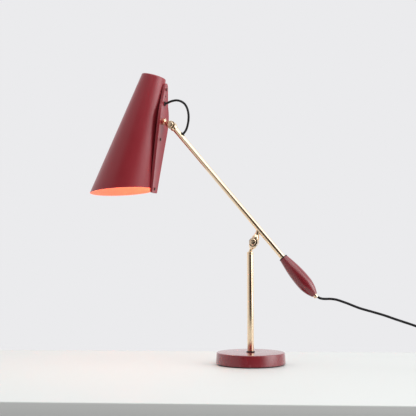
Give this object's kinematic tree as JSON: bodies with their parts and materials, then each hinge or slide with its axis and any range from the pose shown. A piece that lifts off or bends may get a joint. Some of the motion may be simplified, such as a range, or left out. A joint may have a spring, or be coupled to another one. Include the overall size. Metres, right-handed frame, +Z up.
{
  "type": "architect desk lamp",
  "caption": "Desk lamp with a round weighted base, a fixed stem, a counterweighted tilting arm and a tall tilting conical shade on clamp knuckles.",
  "frame": {"origin": "centre of the felt pad's underside, on the surface the lamp stands on", "axes": "+Z up along the stem; the arm swings in the XZ plane, the shade towards -X and the counterweight towards +X"},
  "size_m": [1.0461, 0.1655, 0.7001],
  "materials": {
    "felt": "pressed felt",
    "enamel_iron": "burgundy enamel paint, semi-gloss",
    "enamel_sheet": "burgundy enamel paint, semi-gloss",
    "brass": "satin, pale",
    "steel": "zinc plated",
    "black_textile": "braided textile over rubber",
    "black_rubber": "matt",
    "black_plastic": "fine matt moulded",
    "white_plastic": "gloss",
    "bulb_glass": "opal"
  },
  "bodies": {
    "base": {"felt_pad": "felt", "base_weight": "enamel_iron", "base_nut": "steel", "base_nut_washer": "steel", "foot_washer": "black_plastic", "stem_tube": "brass", "stem_cap": "brass", "stem_rod": "steel", "stem_lug": "brass", "stem_clamp_screw": "brass", "stem_clamp_nut": "brass", "stem_friction_washer": "black_plastic", "mains_cord_upper": "black_textile", "mains_cord_lower": "black_textile", "mains_cord_tail": "black_textile", "mains_coil": "black_textile", "coil_tie": "black_rubber", "plug_body": "black_plastic", "plug_pin_a": "steel", "plug_pin_b": "steel", "switch_lower": "black_plastic", "switch_upper": "black_plastic"},
    "arm": {"arm_lug": "brass", "arm_tube": "brass", "arm_end_lug": "brass", "arm_grommet": "black_rubber", "arm_lead": "black_textile", "counterweight_collar": "black_rubber", "counterweight": "enamel_iron", "end_ferrule": "brass", "shade_loop": "black_textile"},
    "shade": {"shade_cone": "enamel_sheet", "shade_top_cap": "enamel_sheet", "back_plate": "enamel_sheet", "plate_screw_1": "brass", "plate_screw_2": "brass", "plate_screw_3": "brass", "plate_nut_1": "steel", "plate_nut_2": "steel", "plate_nut_3": "steel", "plate_spacer_1": "enamel_sheet", "plate_spacer_2": "enamel_sheet", "plate_spacer_3": "enamel_sheet", "plate_grommet": "black_rubber", "shade_lug": "brass", "stub_nut": "steel", "shade_clamp_screw": "brass", "shade_clamp_nut": "brass", "shade_friction_washer": "black_plastic", "holder_bracket": "steel", "lampholder": "white_plastic", "bulb_cap": "steel", "bulb": "bulb_glass", "holder_lead": "black_textile"},
    "rocker": {"switch_rocker": "black_plastic"}
  },
  "joints": [
    {"name": "arm_tilt", "type": "hinge", "parent": "base", "child": "arm", "pos_m": [0.0095, 0, 0.281], "axis": [0, 1, 0], "range_deg": [-45, 30]},
    {"name": "shade_tilt", "type": "hinge", "parent": "arm", "child": "shade", "pos_m": [-0.19357, 0, 0.5675], "axis": [0, 1, 0], "range_deg": [-40, 60], "deforming": ["shade_loop"]},
    {"name": "switch_rock", "type": "hinge", "parent": "base", "child": "rocker", "pos_m": [0.559, -0.0135, 0.0105], "axis": [1, 0, 0], "range_deg": [0, 16]}
  ]
}
